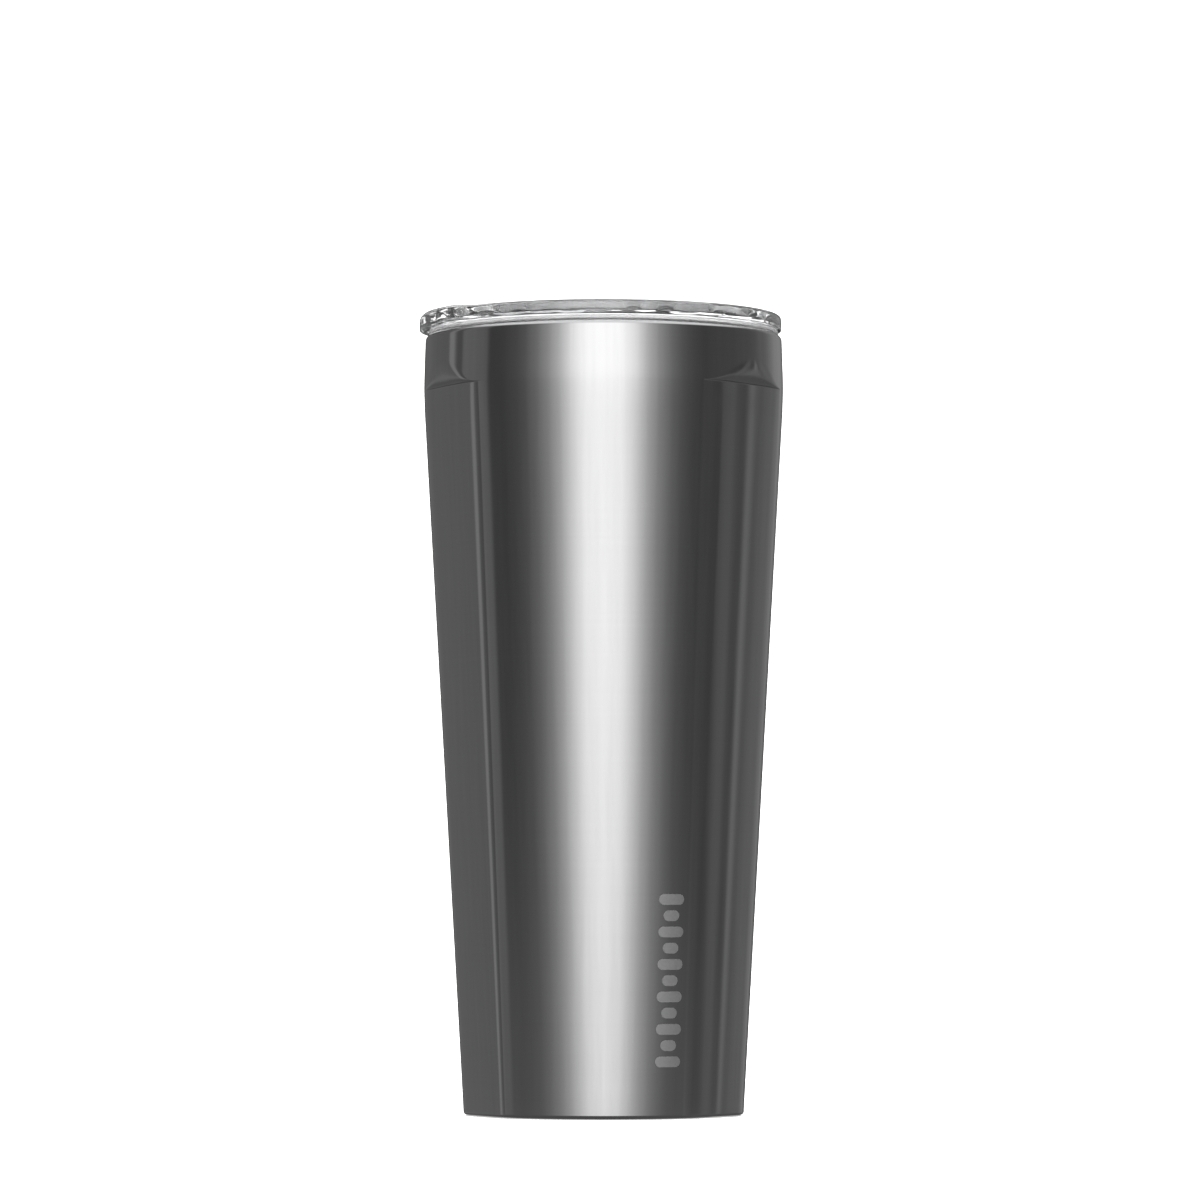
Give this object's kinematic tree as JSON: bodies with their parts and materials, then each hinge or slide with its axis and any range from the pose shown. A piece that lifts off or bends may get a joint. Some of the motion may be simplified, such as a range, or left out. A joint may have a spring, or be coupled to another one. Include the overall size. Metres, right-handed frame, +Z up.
{
  "type": "insulated tumbler with lid",
  "caption": "Tapered double-wall steel tumbler with flat grip sides, a non-slip base pad and a clear push-in lid with a sliding drink opening.",
  "frame": {"origin": "on the axis, at the surface that the base pad stands on", "axes": "+Z up along the axis; -Y is the round front between two flats; -X is the side of the drinking hole"},
  "size_m": [0.0901, 0.0886, 0.1982],
  "materials": {
    "shell_steel": "dark brushed steel, glossy",
    "liner_steel": "electropolished satin",
    "base_steel": "spun steel",
    "copper": "bright copper foil",
    "getter_metal": "sintered, matte",
    "bead_glass": "fused solder glass",
    "adhesive_film": "adhesive film",
    "pad_silicone": "matte silicone",
    "gasket_silicone": "translucent silicone",
    "clear_lid": "clear copolyester, polished",
    "clear_slider": "clear copolyester, polished",
    "clip_plastic": "natural plastic"
  },
  "bodies": {
    "vessel": {"outer_shell": "shell_steel", "liner_wall": "liner_steel", "liner_cup": "liner_steel", "copper_wrap": "copper", "vacuum_base": "base_steel", "seal_bead": "bead_glass", "getter_pellet": "getter_metal", "getter_clip": "base_steel", "base_cover": "base_steel", "pad_film": "adhesive_film", "base_pad": "pad_silicone"},
    "lid_seal": {"lid_gasket": "gasket_silicone"},
    "lid": {"lid_body": "clear_lid"},
    "slider": {"lid_slider": "clear_slider", "slider_clip": "clip_plastic", "slider_seal": "gasket_silicone"}
  },
  "joints": [
    {"name": "lid_lift", "type": "slide", "parent": "vessel", "child": "lid_seal", "axis": [0, 0, 1], "range_m": [0, 0.04]},
    {"name": "lid_turn", "type": "hinge", "parent": "lid_seal", "child": "lid", "pos_m": [0, 0, 0.19], "axis": [0, 0, 1], "continuous": true},
    {"name": "slider_slide", "type": "slide", "parent": "lid", "child": "slider", "axis": [-1, 0, 0], "range_m": [0, 0.016]}
  ]
}
